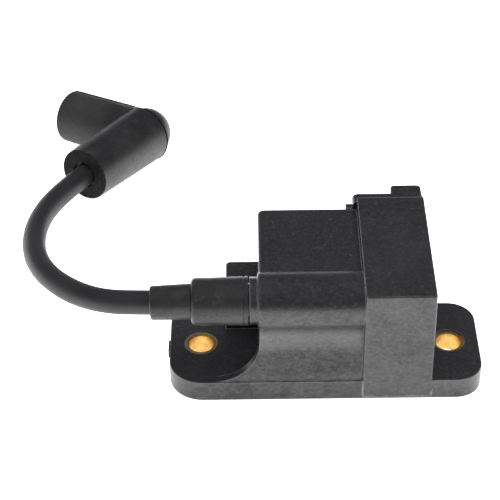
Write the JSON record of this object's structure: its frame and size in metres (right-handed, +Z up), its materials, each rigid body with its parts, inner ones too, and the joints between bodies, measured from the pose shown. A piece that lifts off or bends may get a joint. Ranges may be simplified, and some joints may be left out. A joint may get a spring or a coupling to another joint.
{
  "type": "ignition coil",
  "caption": "Potted capacitor-discharge ignition coil with a bolt-down flange, a horizontal high-tension outlet, a rubber lead and a right-angle plug boot.",
  "frame": {"origin": "Halfway between the two mounting-hole axes, on the flange's underside.", "axes": "+Z up off the mounting face; +X along the line of the two holes, to the ear by the tall chamber, so that the lead leaves towards -X; +Y to the potted rear."},
  "size_m": [0.1429, 0.1512, 0.0401],
  "materials": {
    "housing_plastic": "moulded glass-filled nylon, fine spark texture, satin",
    "bushing_brass": "turned brass, bore bright, ends slightly tarnished",
    "boot_rubber": "moulded rubber, satin with a faint dusty bloom",
    "lead_rubber": "extruded rubber jacket, smooth satin",
    "conductor_copper": "bare copper strands and wire",
    "terminal_brass": "pressed brass",
    "clip_steel": "plated spring steel",
    "pin_brass": "tinned brass",
    "core_steel": "varnished silicon steel sheet",
    "former_plastic": "moulded bobbin plastic",
    "winding_copper": "enamelled copper wire",
    "board_laminate": "glass-epoxy laminate with green resist",
    "capacitor_case": "epoxy-dipped film capacitor",
    "component_black": "moulded component case",
    "resistor_body": "lacquered resistor body",
    "potting_epoxy": "cast black epoxy"
  },
  "bodies": {
    "coil": {"housing": "housing_plastic", "left_bushing": "bushing_brass", "right_bushing": "bushing_brass", "potting_fill": "potting_epoxy", "tower_boot": "boot_rubber", "tower_terminal": "terminal_brass", "ht_lead": "lead_rubber", "lead_conductor": "conductor_copper", "core_bar": "core_steel", "core_frame": "core_steel", "primary_former": "former_plastic", "primary_winding": "winding_copper", "secondary_former": "former_plastic", "secondary_winding": "winding_copper", "tension_link": "conductor_copper", "circuit_board": "board_laminate", "storage_capacitor": "capacitor_case", "thyristor": "component_black", "rectifier_diodes": "component_black", "resistors": "resistor_body", "primary_leads": "conductor_copper", "pin_charge": "pin_brass", "pin_trigger": "pin_brass", "pin_ground": "pin_brass", "pin_stop": "pin_brass"},
    "plug_end": {"plug_boot": "boot_rubber", "plug_terminal": "clip_steel"}
  },
  "joints": [
    {"name": "plug_boot_swivel", "type": "hinge", "parent": "coil", "child": "plug_end", "pos_m": [-0.07906, 0.0796, 0.01476], "axis": [0.5573, 0.8267, -0.0775], "range_deg": [0, 180]}
  ]
}
